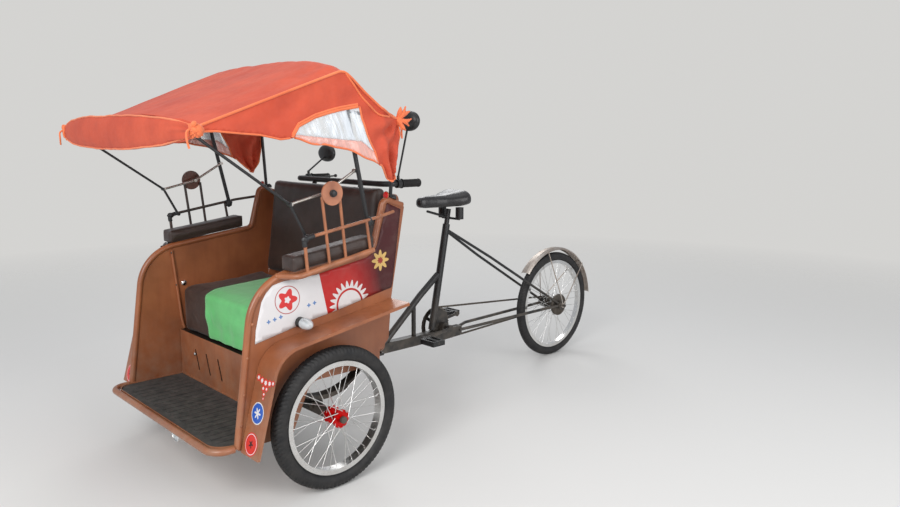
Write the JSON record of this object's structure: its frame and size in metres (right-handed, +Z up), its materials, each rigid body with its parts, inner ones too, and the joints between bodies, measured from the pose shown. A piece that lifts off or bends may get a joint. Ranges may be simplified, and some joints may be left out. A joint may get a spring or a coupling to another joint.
{
  "type": "cycle rickshaw",
  "caption": "Cycle rickshaw with a passenger cabin between two front wheels under a cloth hood, steered and pedalled from a saddle over one rear wheel.",
  "frame": {"origin": "on the ground, at the middle of the overall length and width", "axes": "+Z up; the cabin's open front faces -Y and the rider sits towards +Y; the vehicle's left is +X"},
  "size_m": [1.18, 2.7737, 1.5449],
  "materials": {
    "brown_vinyl": "soft sheen",
    "board_paint": "gloss",
    "panel_paint": "gloss",
    "floor_paint": "gloss",
    "seat_paint": "gloss",
    "frame_paint": "gloss",
    "fender_paint": "gloss",
    "dark_iron": "matt",
    "hub_steel": "dulled",
    "rim_steel": "bright",
    "front_tyre": "matt",
    "rear_tyre_rubber": "matt",
    "grip_rubber": "matt",
    "rail_tube": "worn",
    "lamp_chrome": "bright",
    "lever_alloy": "satin",
    "hood_cloth": "coated cloth",
    "valance_cloth": "coated cloth",
    "clear_sheet": "soft clear sheet",
    "disc_wood": "worn",
    "amber_lens": "gloss",
    "mirror_shell": "gloss",
    "green_cloth": "woven",
    "floor_rubber": "ribbed",
    "chain_steel": "oiled",
    "rear_fender_steel": "bright",
    "saddle_vinyl": "soft sheen",
    "crank_steel": "worn",
    "pedal_block": "worn"
  },
  "bodies": {
    "cabin": {"arm_pads": "brown_vinyl", "back_board": "board_paint", "back_rest": "brown_vinyl", "brake_levers": "lever_alloy", "floor_mat": "floor_rubber", "floor_tray": "floor_paint", "front_axle": "dark_iron", "front_fenders": "fender_paint", "grips": "grip_rubber", "guard_rails": "rail_tube", "headlamp": "lamp_chrome", "hood_bows": "rail_tube", "hood_cover": "hood_cloth", "hood_discs": "disc_wood", "hood_struts": "rail_tube", "hood_valance": "valance_cloth", "hood_windows": "clear_sheet", "leaf_springs": "dark_iron", "mirrors": "mirror_shell", "push_bar": "rail_tube", "seat_box": "seat_paint", "seat_cloth": "green_cloth", "seat_cushion": "brown_vinyl", "side_panel_left": "panel_paint", "side_panel_right": "panel_paint", "signal_bases": "lamp_chrome", "signal_lenses": "amber_lens", "underframe": "dark_iron"},
    "rider_frame": {"chain": "chain_steel", "rear_fender": "rear_fender_steel", "rear_frame": "frame_paint", "saddle": "saddle_vinyl", "seat_post": "lamp_chrome"},
    "crank": {"crankset": "crank_steel"},
    "pedal_left": {"pedal_left": "pedal_block"},
    "pedal_right": {"pedal_right": "pedal_block"},
    "front_wheel_left": {"front_left_hub": "hub_steel", "front_left_rim": "rim_steel", "front_left_tyre": "front_tyre"},
    "front_wheel_right": {"front_right_hub": "hub_steel", "front_right_rim": "rim_steel", "front_right_tyre": "front_tyre"},
    "rear_wheel": {"rear_drum": "dark_iron", "rear_hub": "hub_steel", "rear_rim": "rim_steel", "rear_tyre": "rear_tyre_rubber"}
  },
  "joints": [
    {"name": "steering", "type": "hinge", "parent": "cabin", "child": "rider_frame", "pos_m": [0, -0.764, 0.28], "axis": [0, 0, 1], "range_deg": [-40, 40]},
    {"name": "front_wheel_left_spin", "type": "hinge", "parent": "cabin", "child": "front_wheel_left", "pos_m": [0.537, -0.864, 0.263], "axis": [1, 0, 0], "continuous": true},
    {"name": "front_wheel_right_spin", "type": "hinge", "parent": "cabin", "child": "front_wheel_right", "pos_m": [-0.537, -0.864, 0.263], "axis": [1, 0, 0], "continuous": true},
    {"name": "rear_wheel_spin", "type": "hinge", "parent": "rider_frame", "child": "rear_wheel", "pos_m": [0, 1.054, 0.304], "axis": [1, 0, 0], "continuous": true},
    {"name": "crank_spin", "type": "hinge", "parent": "rider_frame", "child": "crank", "pos_m": [0, 0.158, 0.322], "axis": [1, 0, 0], "continuous": true},
    {"name": "pedal_left_spin", "type": "hinge", "parent": "crank", "child": "pedal_left", "pos_m": [0.124, -0.0153, 0.29764], "axis": [1, 0, 0], "continuous": true},
    {"name": "pedal_right_spin", "type": "hinge", "parent": "crank", "child": "pedal_right", "pos_m": [-0.124, 0.3313, 0.34636], "axis": [1, 0, 0], "continuous": true}
  ]
}
